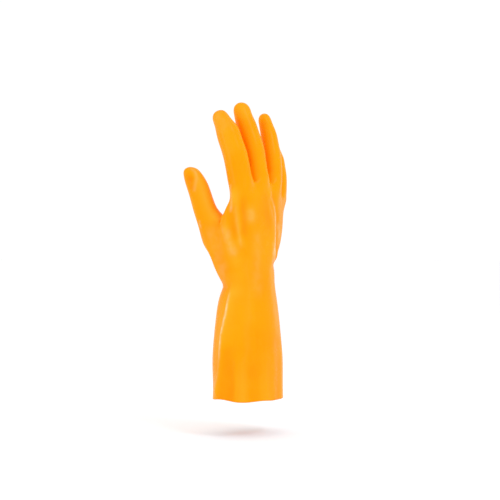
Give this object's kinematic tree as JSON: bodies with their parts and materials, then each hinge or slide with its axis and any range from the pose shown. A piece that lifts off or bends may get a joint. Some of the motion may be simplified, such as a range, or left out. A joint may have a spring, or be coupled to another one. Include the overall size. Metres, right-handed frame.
{
  "type": "chemical-resistant glove",
  "caption": "Right-hand dipped latex work glove with a long flared cuff, shown as a hand fills it: hollow throughout, open at the cuff, with curved fingers.",
  "frame": {"origin": "middle of the cuff's open mouth, at the height of its lowest rim", "axes": "+Z from the cuff towards the fingertips, the back of the hand faces -Y, the palm +Y, the thumb is on the -X side and the little finger on the +X side"},
  "size_m": [0.1153, 0.0775, 0.3072],
  "materials": {
    "latex": "satin orange rubber, plain, no print"
  },
  "bodies": {
    "root": {"glove_shell": "latex"}
  },
  "joints": []
}
